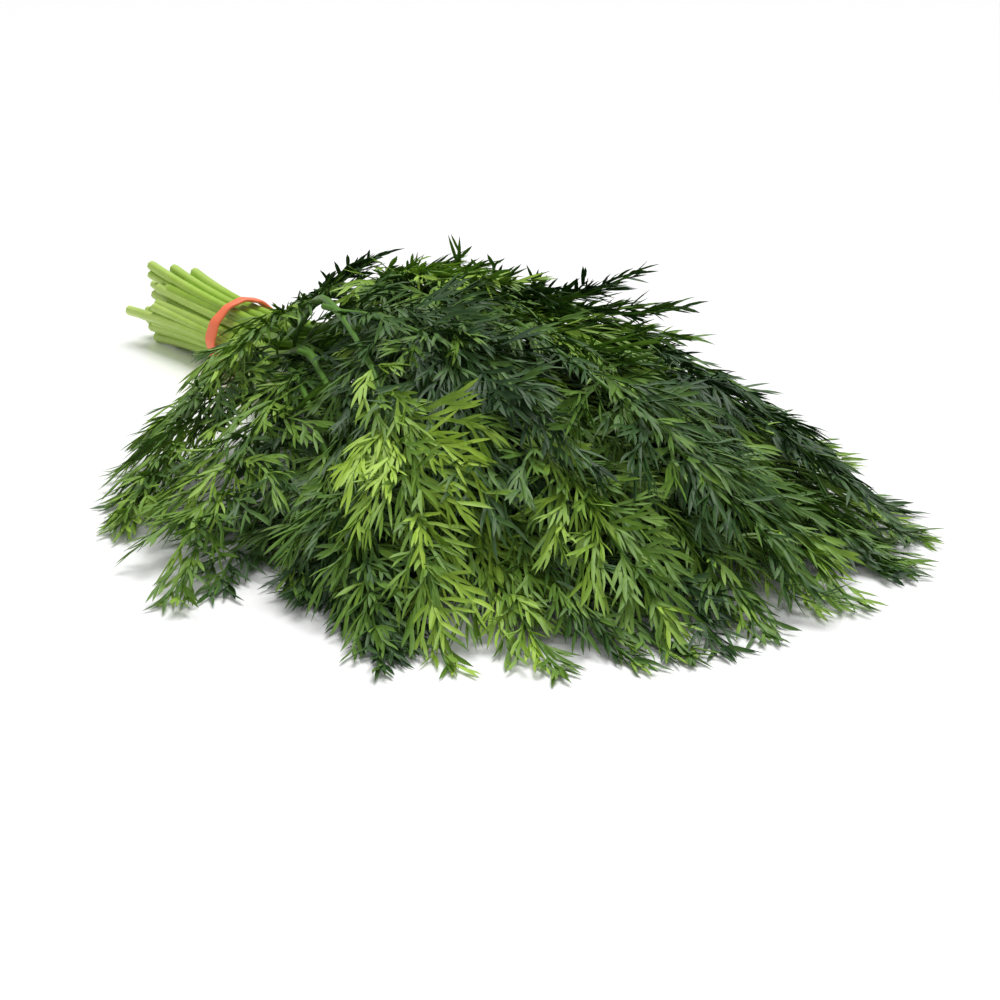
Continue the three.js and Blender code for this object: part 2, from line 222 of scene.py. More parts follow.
# Leaf stalks that run beside each stem and fill the bundle, in millimetres.
PETIOLES = 3
PETIOLE_RADIUS = 1.5
PETIOLE_THICKER = (0.95, 1.25)
PETIOLE_TAPER = 0.6
PETIOLE_POINTS = 12
PETIOLE_JOINS = 58  # from the band
PETIOLE_AT_BAND = 1.7  # from the stem's middle line
PETIOLE_AT_CUT = 3.4
PETIOLE_TAIL = (0.72, 1.04)  # shares of the stem's tail
PETIOLE_ASIDE = (-1.2, 1.2)  # radians from the way to the bundle's middle

# The stalk with its swellings where fronds leave it, and the ribs of the fronds.
STALK_STEP = 6
FEWEST_STEPS = 8
NODE_SWELLING = 0.28
NODE_LENGTH = 5
RIB_POINTS = 14
RIB_FOOT = -6
RIB_RADII = (0.95, 0.34)
RIB_TAPER = 0.8
RIB_GAP = 0.7
STALK_RIBS = 7
STALK_GROOVE = 0.9  # the groove between a stalk's ribs, as a share of its radius
RIBBON_THICKNESS = 0.3  # of its half width, like the next
RIBBON_CHANNEL = 0.28
CREASE = 1.2  # edges that bend more than this, in radians, stay sharp

# Places on the materials' colour ramps, 0 at the first colour and 1 at the last.
FROND_TONES = (0.12, 0.23, 0.32, 0.38, 0.45, 0.51, 0.56, 0.61, 0.66)
FROND_TONE_STRAY = (-0.06, 0.06)
# Fronds higher in the heap are painted lighter and those deeper in darker: painted light on top,
# painted shade below.
LEVEL_PAINTED_LIGHT = 0.06  # how much lighter the top of the heap is
STALK_TONE = (-0.12, 0.12)
PETIOLE_TONE = (-0.22, 0.2)
RIB_TONE = (-0.1, 0.15)

# Widths of the patterns in the materials, in millimetres, and how much the patterns change.
LEAF_PATCH = 6.25
LEAF_GRAIN = 5 / 6
STALK_STREAK = 50 / 11
TALC_SPOT = 2
PATCH_CONTRAST = 0.34
STREAK_CONTRAST = 0.3
TALC_COVER = 0.28
TALC_COLOUR = "f7a27c"
BUMP_DEPTH = 0.2 * MM
DRY_TIP = 0.86  # where along a ribbon its dry point starts
GREENING = 160  # how far from the cut ends stalks are fully green
CUT_FACING = -0.9

# The rubber band, in millimetres. Waves round it are how far, how many a turn and their start.
BAND_WIDTH = 6
BAND_THICKNESS = 1.4
BAND_STEPS = 144
BAND_CORNERS = 16
BAND_DIP = 0.28
BAND_DIPS = 6
BAND_SWELL = ((0.08, 2, 0.8), (0.03, 5, 0.0))
BAND_WANDER = ((0.7, 1, 0.5), (0.3, 3, 1.0))
BAND_TWIST = ((0.14, 1, -0.4), (0.05, 4, 0.0))
BAND_SQUARENESS = (0.55, 0.8)  # 1 is an ellipse, and less is squarer, across it and through it
BAND_LIFT = 0.05

# The camera and the studio, in metres. A light has the way to it and its width in degrees.
CAMERA_AIM = (0.1515, -0.0015)  # from the band's middle
SENSOR_WIDTH = 36  # mm
NEAREST = 0.01
FARTHEST = 50
WORKTOP_HALF = 6.0
OVERHEAD_SOFTBOX = ((-0.3, 0.35, 1.0), 42)
SIDE_SOFTBOX = ((0.9, -0.5, 0.9), 60)


def linear(hex_colour):
    """The linear RGBA of an sRGB hex colour such as "3f7a2c"."""
    values = [int(hex_colour[i : i + 2], 16) / 255 for i in (0, 2, 4)]
    return (*(v / 12.92 if v <= 0.04045 else ((v + 0.055) / 1.055) ** 2.4 for v in values), 1.0)


def smoothstep(x, low, high):
    """0 below low, 1 above high, and a smooth step between them."""
    t = np.clip((x - low) / (high - low), 0, 1)
    return t * t * (3 - 2 * t)


def lerp(a, b, t):
    """From a to b, at the share t."""
    return a + (b - a) * t


def dice(seed):
    """A repeatable draw between two numbers, the same as the solids' own."""
    state = [seed * SPREAD_OF_SEEDS]

    def step():
        state[0] = (state[0] * MULTIPLIER) % MODULUS
        return state[0] / MODULUS

    step()
    step()
    return lambda limits: limits[0] + (limits[1] - limits[0]) * step()


def aside_of(bearing):
    """How far aside of the fan's middle a direction is."""
    aside = bearing - FAN_MIDDLE
    return np.where(aside > 0, aside * LEFT_NARROWING, -aside)


def rim_at(bearing):
    """How far the leaves reach in a direction."""
    return REACH * np.cos(np.minimum(RIM_NARROWEST, RIM_ROUNDING * aside_of(bearing)))


def heap_at(x, y):
    """The heap's height at a point."""
    bearing = np.arctan2(y, x)
    out = np.hypot(x, y) / rim_at(bearing)
    along = 1 - ((out - HEAP_PEAK) / HEAP_FALL) ** 2
    aside = aside_of(bearing) / FAN_HALF
    return HEAP_HEIGHT * np.maximum(0, along) * np.maximum(0, 1 - SIDE_FALL * aside**2)


def level_height(level, x, y, band_centre):
    """The height of a level of the heap, 0 at the worktop and 1 at its top."""
    in_bundle = band_centre + (level - 0.5) * len(ROWS) * ROW_RISE
    in_heap = BLADE_THICKNESS / 2 + level * heap_at(x, y)
    return lerp(in_bundle, in_heap, smoothstep(x, 0, LEVEL_START))


class Stem:
    """One leafy stem's place in the bundle, in the fan and in the heap."""

    def __init__(self, row, column, index, band_centre):
        count = ROWS[row]
        side = -1 if row < len(ROWS) / 2 else 1
        share = (column + 0.5 + FAN_OFFSET * side) / count
        stagger = (((column * 2 + row) % count) + 0.5) / count - 0.5
        fan = STEM_FAN * (2 * share - 1)
        self.index = index
        self.node = f"leafy_stem_{index + 1:02d}"
        self.band_centre = band_centre
        self.across = (column - (count - 1) / 2 + ROW_OFFSET * side) * PITCH
        self.height = band_centre + (row - HALF_ROWS) * ROW_RISE
        self.bearing = FAN_MIDDLE + (fan / LEFT_NARROWING if fan > 0 else fan)
        self.level = (row + 0.5 + LEVEL_STAGGER * stagger) / len(ROWS)
        self.is_outer = self.level > OUTER_LEVEL

    def point(self, x):
        """A point on the stem's middle line."""
        if x < 0:
            flare = 1 + TAIL_FLARE * (x / STALK_TAIL) ** 2
            height = self.band_centre + (self.height - self.band_centre) * flare
            return np.array([x, self.across * flare, max(STALK_RADIUS, height)])
        y = self.across + math.tan(self.bearing) * (x**2 / (x + SPREAD_START))
        settled = smoothstep(x, 0, LEVEL_START)
        level = level_height(self.level, x, y, self.band_centre)
        return np.array([x, y, lerp(self.height, level, settled)])

    def grow(self):
        """Draws the stem's tail and its fronds as the solids' rule does."""
        draw = dice(self.index + SEED)
        rim = rim_at(self.bearing)
        own_hand = 1 if self.index % 2 else -1
        self.tail = STALK_TAIL + draw((-TAIL_STAGGER, TAIL_STAGGER))
        self.end = 0
        self.fronds = []
        for starts, turns, curls, side, above, size, rise in FRONDS:
            if self.level <= above:
                continue
            hand = side * own_hand
            start = rim * draw(starts)
            turn = hand * draw(turns)
            curl = hand * draw(curls)
            length = draw(FROND_LENGTH) * size
            lift = rise + draw(OUTER_LIFT) if self.is_outer else 0
            wings = draw(OUTER_WINGS) if self.is_outer else 0
            frond = Frond(self, start, turn, curl, length, lift, wings)
            while frond.is_past_rim() and frond.length > SHORTEST_FROND:
                frond.length -= LENGTH_STEP
            if frond.length > SHORTEST_FROND:
                self.fronds.append(frond)
                self.end = max(self.end, start)


class Frond:
    """Where one frond lies: it leaves its stalk, turns and runs along the stalk's level."""

    def __init__(self, stem, start, turn, curl, length, lift, wings):
        self.stem = stem
        self.start = start
        self.turn = turn
        self.curl = curl
        self.length = length
        self.lift = lift
        self.wings = wings

    def place(self, along, across):
        """Points of the frond's surface, for arrays of places along and across it."""
        foot = self.stem.point(self.start)
        ahead = self.stem.point(self.start + 1) - foot
        heading = math.atan2(ahead[1], ahead[0]) + math.radians(self.turn)
        share = along / self.length
        swing = heading + math.radians(self.curl) * share
        course = heading + math.radians(self.curl) * share / 2
        rib_x = foot[0] + along * np.cos(course)
        rib_y = foot[1] + along * np.sin(course)

        def level(off):
            x = rib_x - off * np.sin(swing)
            y = rib_y + off * np.cos(swing)
            return level_height(self.stem.level, x, y, self.stem.band_centre)

        slope = (level(TILT_SPAN) - level(-TILT_SPAN)) / (2 * TILT_SPAN)
        slope = np.clip(slope, -MOST_TILT, MOST_TILT)
        joined = smoothstep(along, 0, JOINT_LENGTH)
        lifted = self.lift * np.maximum(0, share) ** 2 + self.wings * np.abs(across)
        height = lerp(foot[2], level(0) + slope * across, joined) + lifted
        x = rib_x - across * np.sin(swing)
        y = rib_y + across * np.cos(swing)
        return np.stack([x, y, np.maximum(BLADE_THICKNESS / 2, height)], axis=-1)

    def is_past_rim(self):
        tip = self.place(np.array([self.length]), np.array([0.0]))[0]
        return math.hypot(tip[0], tip[1]) > rim_at(math.atan2(tip[1], tip[0]))

    def settle(self, corners):
        """Turns and shortens the frond as its solid was. False if the solid has no such frond."""
        turn = self.turn
        length = self.length
        found = []
        for share in SHORTER:
            for attempt in range(MOST_TURNS):
                away = math.ceil(attempt / 2) * (TURN_STEP if attempt % 2 else -TURN_STEP)
                self.turn = turn + away
                self.length = length * share
                tip = self.place(np.array([self.length]), np.array([0.0]))[0]
                gap = np.sqrt(((corners - tip) ** 2).sum(1).min())
                found.append((gap, self.turn, self.length))
        gap, self.turn, self.length = min(found)
        return gap < TIP_MATCH


class Strand:
    """A ribbon of a leaf, drawn on its frond: where it starts, where it heads and how it bends."""

    def __init__(self, foot, heading, rise, length, bend, sag, half_width, shade, bank):
        self.along, self.across, self.height = foot
        self.heading = heading
        self.rise = rise
        self.length = length
        self.bend = bend
        self.sag = sag
        self.half_width = half_width
        self.shade = shade
        self.bank = bank

    def at(self, share):
        """A point on the strand: along the frond, across it and above it."""
        run = self.length * share
        course = self.heading + self.bend * share / 2
        flat = run * math.cos(self.rise)
        return (
            self.along + flat * math.cos(course),
            self.across + flat * math.sin(course),
            self.height + run * math.sin(self.rise) - self.sag * run * run,
        )


def grow_leaf(frond, sizes, tone_and_light, draw):
    """The ribbons of one frond, as a list of long axes and a list of short segments."""
    axes = []
    segments = []
    layers = [(PINNAE, PINNA_RISE, PINNA_FALL)]
    if frond.stem.level > BURIED_LEVEL:
        layers.append((UPPER_PINNAE, UPPER_RISE, UPPER_FALL))
    for pinnae, rises, falls in layers:
        for at, share, lean in pinnae:
            for side in (1, -1):
                if draw.random() < GAPS:
                    continue
                rise = draw.uniform(*rises)
                length = share * frond.length * draw.uniform(*PINNA_LENGTH)
                pinna = Strand(
                    (frond.length * (at + draw.uniform(*PINNA_PLACE)), 0, 0),
                    side * math.radians(lean + draw.uniform(*PINNA_LEAN)),
                    rise,
                    length,
                    -side * math.radians(draw.uniform(*PINNA_BEND)),
                    draw.uniform(*falls) * max(LEAST_FALL, math.sin(rise)) / length,
                    sizes["axis"] * draw.uniform(*PINNA_WIDTH),
                    tone_and_light + draw.uniform(*PINNA_TONE),
                    draw.uniform(*PINNA_BANK),
                )
                axes.append(pinna)
                grow_pinna(pinna, sizes, segments, draw)
    return axes, segments


def grow_pinna(pinna, sizes, segments, draw):
    """Adds the pinnules of one pinna, in staggered pairs, each forked up to three times."""
    longest = min(PINNULE_SHARE * pinna.length, sizes["longest"])
    widest, taper = PINNULE_TAPER
    run = PINNULES_FROM * pinna.length + FOOT_GAP
    while run < PINNULES_TO * pinna.length:
        share = run / pinna.length
        usual = max(sizes["shortest"], longest * (widest - taper * share))
        for side in (1, -1):
            here = min(LAST_PINNULE, share + draw.uniform(*PINNULE_PLACE))
            length = usual * draw.uniform(*PINNULE_LENGTH)
            heading = pinna.heading + pinna.bend * here
            slope = pinna.rise - 2 * pinna.sag * here * pinna.length
            pinnule = Strand(
                pinna.at(here),
                heading + side * math.radians(draw.uniform(*PINNULE_LEAN)),
                slope + draw.uniform(*PINNULE_RISE),
                length,
                -side * math.radians(draw.uniform(*PINNULE_BEND)),
                draw.uniform(*PINNULE_SAG),
                sizes["segment"] * draw.uniform(*PINNULE_WIDTH),
                pinna.shade + draw.uniform(*PINNULE_TONE),
                pinna.bank + draw.uniform(*PINNULE_BANK),
            )
            segments.append(pinnule)
            add_forks(pinnule, sizes, segments, draw)
        run += sizes["spacing"] * draw.uniform(*SPACING_STRAY)


def add_forks(pinnule, sizes, segments, draw):
    """Adds the side points of a pinnule that is long enough to fork."""
    count = sum(pinnule.length > length for length in FORKED_OVER)
    side = draw.choice((1, -1))
    for at, share in FORKS[:count]:
        heading = pinnule.heading + pinnule.bend * at
        slope = pinnule.rise - 2 * pinnule.sag * at * pinnule.length
        fork = Strand(
            pinnule.at(at),
            heading + side * math.radians(draw.uniform(*FORK_LEAN)),
            slope + draw.uniform(*FORK_RISE),
            max(sizes["shortest"] * SHORTEST_FORK, share * pinnule.length),
            -side * math.radians(draw.uniform(*FORK_BEND)),
            pinnule.sag,
            pinnule.half_width * draw.uniform(*FORK_WIDTH),
            pinnule.shade,
            pinnule.bank + draw.uniform(*FORK_BANK),
        )
        segments.append(fork)
        side = -side


class Skeleton:
    """Chains of points, with what geometry nodes and the materials read at each point."""

    def __init__(self):
        self.points = []
        self.faces = []
        self.widths = []
        self.shades = []
        self.tips = []
        self.stalks = []
        self.chains = []

    def add(self, points, faces, widths, shade, tips, is_stalk):
        """Adds chains of equal length. Points and faces are (chains, points, 3) arrays."""
        chains, count = points.shape[:2]
        self.points.append(points.reshape(-1, 3))
        self.faces.append(faces.reshape(-1, 3))
        self.widths.append(widths.reshape(-1))
        self.shades.append(np.broadcast_to(shade, (chains, count)).reshape(-1))
        self.tips.append(np.broadcast_to(tips, (chains, count)).reshape(-1))
        self.stalks.append(np.full(chains * count, bool(is_stalk)))
        self.chains += [count] * chains

    def mesh(self, name, origin):
        """The chains as a mesh of edges, in metres."""
        points = np.concatenate(self.points) * MM + np.array(origin)
        starts = np.cumsum([0, *self.chains[:-1]])
        firsts = [np.arange(start, start + count - 1) for start, count in zip(starts, self.chains)]
        firsts = np.concatenate(firsts)
        edges = np.stack([firsts, firsts + 1], 1)
        mesh = bpy.data.meshes.new(name)
        mesh.vertices.add(len(points))
        mesh.vertices.foreach_set("co", points.astype(np.float32).ravel())
        mesh.edges.add(len(edges))
        mesh.edges.foreach_set("vertices", edges.astype(np.int32).ravel())
        for key, kind, field, values in (
            ("face", "FLOAT_VECTOR", "vector", self.faces),
            ("half_width", "FLOAT", "value", [w * MM for w in self.widths]),
            ("shade", "FLOAT", "value", self.shades),
            ("tip", "FLOAT", "value", self.tips),
            ("is_stalk", "BOOLEAN", "value", self.stalks),
        ):
            joined = np.concatenate(values).astype(bool if kind == "BOOLEAN" else np.float32)
            attribute = mesh.attributes.new(key, kind, "POINT")
            attribute.data.foreach_set(field, joined.ravel())
        mesh.update()
        return mesh


def unit(vectors):
    """Vectors of length 1."""
    return vectors / np.maximum(1e-9, np.linalg.norm(vectors, axis=-1, keepdims=True))


def across_faces(points, up, bank):
    """The way that each ribbon's flat side faces along its chain: up, turned about it by bank."""
    tangents = unit(np.gradient(points, axis=1))
    aside = unit(np.cross(tangents, up))
    facing = np.cross(aside, tangents)
    return facing * np.cos(bank) + aside * np.sin(bank)


def strand_chains(frond, strands, profile, floor_gaps):
    """Places strands on their frond: points, the way they face, half widths, shades and tips."""
    shares = np.linspace(0, 1, len(profile))

    def column(key):
        return np.array([getattr(s, key) for s in strands], float)[:, None]

    run = column("length") * shares
    course = column("heading") + column("bend") * shares / 2
    flat = run * np.cos(column("rise"))
    along = column("along") + flat * np.cos(course)
    across = column("across") + flat * np.sin(course)
    raised = column("height") + run * np.sin(column("rise")) - column("sag") * run**2
    points = frond.place(along, across)
    beyond = frond.place(along + 1, across) - points
    beside = frond.place(along, across + 1) - points
    up = unit(np.cross(beyond, beside))
    points = points + np.stack([np.zeros_like(raised), np.zeros_like(raised), raised], -1)
    points[..., 2] = above_worktop(points[..., 2], floor_gaps)
    faces = across_faces(points, up, column("bank")[..., None])
    widths = column("half_width") * np.array(profile)
    return points, faces, widths, column("shade"), shares[None, :]


def above_worktop(heights, gaps):
    """Heights that come down softly onto the worktop instead of going through it."""
    rest = heights - gaps
    return gaps + 0.5 * (rest + np.sqrt(rest**2 + WORKTOP_SOFTNESS))


def petiole_chains(stem, draw):
    """Leaf stalks beside a stem, each from its cut end to where it joins the stem."""
    inward = -np.array([stem.across, stem.height - stem.band_centre])
    angle = math.atan2(inward[1], inward[0])
    chains = []
    for _ in range(PETIOLES):
        away = angle + draw.uniform(*PETIOLE_ASIDE)
        tail = stem.tail * draw.uniform(*PETIOLE_TAIL)
        stations = np.linspace(-tail, PETIOLE_JOINS, PETIOLE_POINTS)
        spread = np.where(
            stations < 0,
            PETIOLE_AT_BAND + (PETIOLE_AT_CUT - PETIOLE_AT_BAND) * (stations / tail) ** 2,
            PETIOLE_AT_BAND * (1 - stations / PETIOLE_JOINS),
        )
        points = np.array([stem.point(x) for x in stations])
        points[:, 1] += spread * math.cos(away)
        points[:, 2] += spread * math.sin(away)
        points[:, 2] = np.maximum(points[:, 2], PETIOLE_RADIUS)
        foot_radius = PETIOLE_RADIUS * draw.uniform(*PETIOLE_THICKER)
        radii = np.linspace(foot_radius, PETIOLE_RADIUS * PETIOLE_TAPER, PETIOLE_POINTS)
        chains.append((points, radii))
    return chains


def stalk_chain(stem):
    """The stalk's middle line from its cut end to its last frond, with its radii."""
    count = max(FEWEST_STEPS, round((stem.end + stem.tail) / STALK_STEP))
    stations = np.linspace(-stem.tail, stem.end, count)
    points = np.array([stem.point(x) for x in stations])
    taper = smoothstep(stations, TAPER_START * stem.end, stem.end)
    radii = lerp(STALK_RADIUS, TIP_RADIUS, taper)
    for frond in stem.fronds:
        off = (stations - frond.start) / NODE_LENGTH
        radii = radii * (1 + NODE_SWELLING * np.exp(-(off**2)))
    return points, radii


def add_node(tree, kind, settings=None, **links):
    """Adds a node. Settings name its properties, and links its inputs as values or outputs."""
    node = tree.nodes.new(kind)
    for key, value in (settings or {}).items():
        setattr(node, key, value)
    for key, value in links.items():
        is_number = key[0] == "i" and key[1:].isdigit()
        socket = node.inputs[int(key[1:]) if is_number else key.replace("_", " ")]
        if isinstance(value, bpy.types.NodeSocket):
            tree.links.new(value, socket)
        else:
            socket.default_value = value
    return node


def add_input(tree, name, kind, default=None):
    """Adds a named input to a node tree."""
    socket = tree.interface.new_socket(name, in_out="INPUT", socket_type=kind)
    if default is not None:
        socket.default_value = default
    return socket.identifier


def leaf_tree():
    """Geometry nodes that turn chains of points into pointed ribbons and ribbed stalks."""
    tree = bpy.data.node_groups.new("Dill leaves along chains", "GeometryNodeTree")
    tree.interface.new_socket("Geometry", in_out="OUTPUT", socket_type="NodeSocketGeometry")
    tree.interface.new_socket("Geometry", in_out="INPUT", socket_type="NodeSocketGeometry")
    sockets = {
        "thickness": add_input(tree, "Ribbon thickness", "NodeSocketFloat", RIBBON_THICKNESS),
        "channel": add_input(tree, "Channel depth", "NodeSocketFloat", RIBBON_CHANNEL),
        "flutes": add_input(tree, "Stalk ribs", "NodeSocketInt", STALK_RIBS),
        "groove": add_input(tree, "Stalk groove", "NodeSocketFloat", STALK_GROOVE),
        "leaf": add_input(tree, "Leaf finish", "NodeSocketMaterial"),
        "stalk": add_input(tree, "Stalk finish", "NodeSocketMaterial"),
    }
    given = tree.nodes.new("NodeGroupInput").outputs
    read = "GeometryNodeInputNamedAttribute"
    is_stalk = add_node(tree, read, {"data_type": "BOOLEAN"}, Name="is_stalk").outputs[0]
    face = add_node(tree, read, {"data_type": "FLOAT_VECTOR"}, Name="face").outputs[0]
    half_width = add_node(tree, read, {"data_type": "FLOAT"}, Name="half_width").outputs[0]
    split = add_node(
        tree,
        "GeometryNodeSeparateGeometry",
        {"domain": "POINT"},
        Geometry=given["Geometry"],
        Selection=is_stalk,
    )
    # A ribbon's section is a shallow channel: its keel, an edge, the channel's floor, an edge.
    keel = add_node(
        tree, "ShaderNodeMath", {"operation": "MULTIPLY"}, i0=given["Ribbon thickness"], i1=-1.0
    )
    corners = [
        add_node(tree, "ShaderNodeCombineXYZ", X=x, Y=y).outputs[0]
        for x, y in (
            (keel.outputs[0], 0.0),
            (given["Channel depth"], 1.0),
            (0.0, 0.0),
            (given["Channel depth"], -1.0),
        )
    ]
    channel = add_node(
        tree,
        "GeometryNodeCurvePrimitiveQuadrilateral",
        {"mode": "POINTS"},
        Point_1=corners[0],
        Point_2=corners[1],
        Point_3=corners[2],
        Point_4=corners[3],
    )
    star = add_node(
        tree, "GeometryNodeCurveStar", i0=given["Stalk ribs"], i1=given["Stalk groove"], i2=1.0
    )
    made = []
    for chains, profile, finish in (
        (split.outputs["Inverted"], channel.outputs[0], given["Leaf finish"]),
        (split.outputs["Selection"], star.outputs["Curve"], given["Stalk finish"]),
    ):
        path = add_node(tree, "GeometryNodeMeshToCurve", i0=chains)
        turned = add_node(
            tree, "GeometryNodeSetCurveNormal", {"mode": "FREE"}, Curve=path.outputs[0], Normal=face
        )
        swept = add_node(
            tree,
            "GeometryNodeCurveToMesh",
            Curve=turned.outputs[0],
            Profile_Curve=profile,
            Scale=half_width,
            Fill_Caps=True,
        )
        bend = add_node(tree, "GeometryNodeInputMeshEdgeAngle")
        is_soft = add_node(
            tree, "FunctionNodeCompare", {"operation": "LESS_THAN"}, i0=bend.outputs[0], i1=CREASE
        )
        smooth = add_node(
            tree,
            "GeometryNodeSetShadeSmooth",
            {"domain": "EDGE"},
            i0=swept.outputs[0],
            i2=is_soft.outputs[0],
        )
        dressed = add_node(
            tree, "GeometryNodeSetMaterial", Geometry=smooth.outputs[0], Material=finish
        )
        made.append(dressed.outputs[0])
    joined = tree.nodes.new("GeometryNodeJoinGeometry")
    for output in made:
        tree.links.new(output, joined.inputs[0])
    real = add_node(tree, "GeometryNodeRealizeInstances", Geometry=joined.outputs[0])
    out = tree.nodes.new("NodeGroupOutput")
    tree.links.new(real.outputs[0], out.inputs[0])
    return tree, sockets


def new_material(name, **finish):
    """A material with one Principled shader, whose plain inputs are set from finish."""
    material = bpy.data.materials.new(name)
    material.use_nodes = True
    shader = material.node_tree.nodes["Principled BSDF"]
    for key, value in finish.items():
        shader.inputs[key.replace("_", " ")].default_value = value
    return material, material.node_tree, shader


def noise_scale(width):
    """The scale of a noise texture whose spots are this wide in millimetres."""
    return 1 / (width * MM)


def leaf_material(colours):
    """Living dill leaf, grown: its thin wax bloom gives soft, slightly satin highlights."""
    material, tree, shader = new_material(
        "living dill leaf, grown", Roughness=0.5, IOR=1.42, Specular_IOR_Level=0.36
    )
    # The shade attribute holds each leaf's tone, which differs at random, plus painted light and
    # shade by its height in the heap.
    shade = add_node(tree, "ShaderNodeAttribute", {"attribute_name": "shade"})
    tip = add_node(tree, "ShaderNodeAttribute", {"attribute_name": "tip"})
    place = add_node(tree, "ShaderNodeTexCoord").outputs["Object"]
    # Patches of slightly other green, as wide as a few ribbons.
    scale = noise_scale(LEAF_PATCH)
    patches = add_node(
        tree, "ShaderNodeTexNoise", Vector=place, Scale=scale, Detail=3.0, Roughness=0.6
    )
    offset = add_node(
        tree,
        "ShaderNodeMath",
        {"operation": "MULTIPLY_ADD"},
        i0=patches.outputs["Fac"],
        i1=PATCH_CONTRAST,
        i2=-PATCH_CONTRAST / 2,
    )
    mixed = add_node(
        tree, "ShaderNodeMath", {"operation": "ADD"}, i0=shade.outputs["Fac"], i1=offset.outputs[0]
    )
    ramp = add_node(tree, "ShaderNodeValToRGB", Fac=mixed.outputs[0])
    stops = ramp.color_ramp.elements
    stops[0].position = 0.0
    stops[0].color = linear(colours.dark)
    stops[1].position = 1.0
    stops[1].color = linear(colours.young)
    for position, colour in ((0.35, colours.deep), (0.62, colours.mid)):
        stop = stops.new(position)
        stop.color = linear(colour)
    # The last part of a ribbon dries to a darker, brownish point.
    dried = add_node(
        tree, "ShaderNodeMapRange", Value=tip.outputs["Fac"], From_Min=DRY_TIP, From_Max=1.0
    )
    coloured = add_node(
        tree,
        "ShaderNodeMix",
        {"data_type": "RGBA"},
        i0=dried.outputs[0],
        i6=ramp.outputs[0],
        i7=linear(colours.tip),
    )
    tree.links.new(coloured.outputs[2], shader.inputs["Base Color"])
    # A leaf's cells are too fine to show, so its grain is drawn about 0.8 mm wide.
    grain = add_node(
        tree, "ShaderNodeTexNoise", Vector=place, Scale=noise_scale(LEAF_GRAIN), Detail=2.0
    )
    bump = add_node(
        tree, "ShaderNodeBump", Strength=0.25, Distance=BUMP_DEPTH, Height=grain.outputs["Fac"]
    )
    tree.links.new(bump.outputs[0], shader.inputs["Normal"])
    return material


def stalk_material(colours, cut_x):
    """Living dill stalk, grown: smooth and juicy, pale at the cut and greener among the leaves."""
    material, tree, shader = new_material(
        "living dill stalk, grown", Roughness=0.4, IOR=1.4, Specular_IOR_Level=0.4
    )
    place = add_node(tree, "ShaderNodeTexCoord").outputs["Object"]
    split = add_node(tree, "ShaderNodeSeparateXYZ", Vector=place)
    greener = add_node(
        tree,
        "ShaderNodeMapRange",
        Value=split.outputs["X"],
        From_Min=cut_x,
        From_Max=cut_x + GREENING * MM,
    )
    # Uneven green along the stalks, from one side of a stalk to the other.
    scale = noise_scale(STALK_STREAK)
    streaks = add_node(
        tree, "ShaderNodeTexNoise", Vector=place, Scale=scale, Detail=3.0, Roughness=0.6
    )
    shade = add_node(tree, "ShaderNodeAttribute", {"attribute_name": "shade"})
    base = add_node(
        tree,
        "ShaderNodeMath",
        {"operation": "MULTIPLY_ADD"},
        i0=streaks.outputs["Fac"],
        i1=STREAK_CONTRAST,
        i2=shade.outputs["Fac"],
    )
    total = add_node(
        tree, "ShaderNodeMath", {"operation": "ADD"}, i0=base.outputs[0], i1=greener.outputs[0]
    )
    ramp = add_node(tree, "ShaderNodeValToRGB", Fac=total.outputs[0])
    stops = ramp.color_ramp.elements
    stops[0].position = 0.1
    stops[0].color = linear(colours.cut)
    stops[1].position = 1.0
    stops[1].color = linear(colours.rib)
    stop = stops.new(0.5)
    stop.color = linear(colours.stalk)
    # The faces of the cut look back along the stalks and show the pale pith.
    surface = add_node(tree, "ShaderNodeNewGeometry")
    facing = add_node(tree, "ShaderNodeSeparateXYZ", Vector=surface.outputs["True Normal"])
    is_cut = add_node(
        tree, "ShaderNodeMath", {"operation": "LESS_THAN"}, i0=facing.outputs["X"], i1=CUT_FACING
    )
    coloured = add_node(
        tree,
        "ShaderNodeMix",
        {"data_type": "RGBA"},
        i0=is_cut.outputs[0],
        i6=ramp.outputs[0],
        i7=linear(colours.pith),
    )
    tree.links.new(coloured.outputs[2], shader.inputs["Base Color"])
    return material


def rubber_material(colour):
    """Natural rubber, cut from a dyed dipped tube: matte, with a faint dusting of talc."""
    material, tree, shader = new_material(
        "natural rubber, cut from dipped tube", Roughness=0.55, IOR=1.52
    )
    place = add_node(tree, "ShaderNodeTexCoord").outputs["Object"]
    dust = add_node(
        tree, "ShaderNodeTexNoise", Vector=place, Scale=noise_scale(TALC_SPOT), Detail=4.0
    )
    faded = add_node(
        tree, "ShaderNodeMapRange", Value=dust.outputs["Fac"], To_Min=0.0, To_Max=TALC_COVER
    )
    coloured = add_node(
        tree,
        "ShaderNodeMix",
        {"data_type": "RGBA"},
        i0=faded.outputs[0],
        i6=linear(colour),
        i7=linear(TALC_COLOUR),
    )
    tree.links.new(coloured.outputs[2], shader.inputs["Base Color"])
    bump = add_node(
        tree, "ShaderNodeBump", Strength=0.3, Distance=BUMP_DEPTH, Height=dust.outputs["Fac"]
    )
    tree.links.new(bump.outputs[0], shader.inputs["Normal"])
    return material


def worktop_material(colour):
    """White laminate, pressed: smooth enough to mirror faintly what lies on it."""
    material, _, _ = new_material(
        "white laminate, pressed", Base_Color=linear(colour), Roughness=0.22, IOR=1.45
    )
    return material


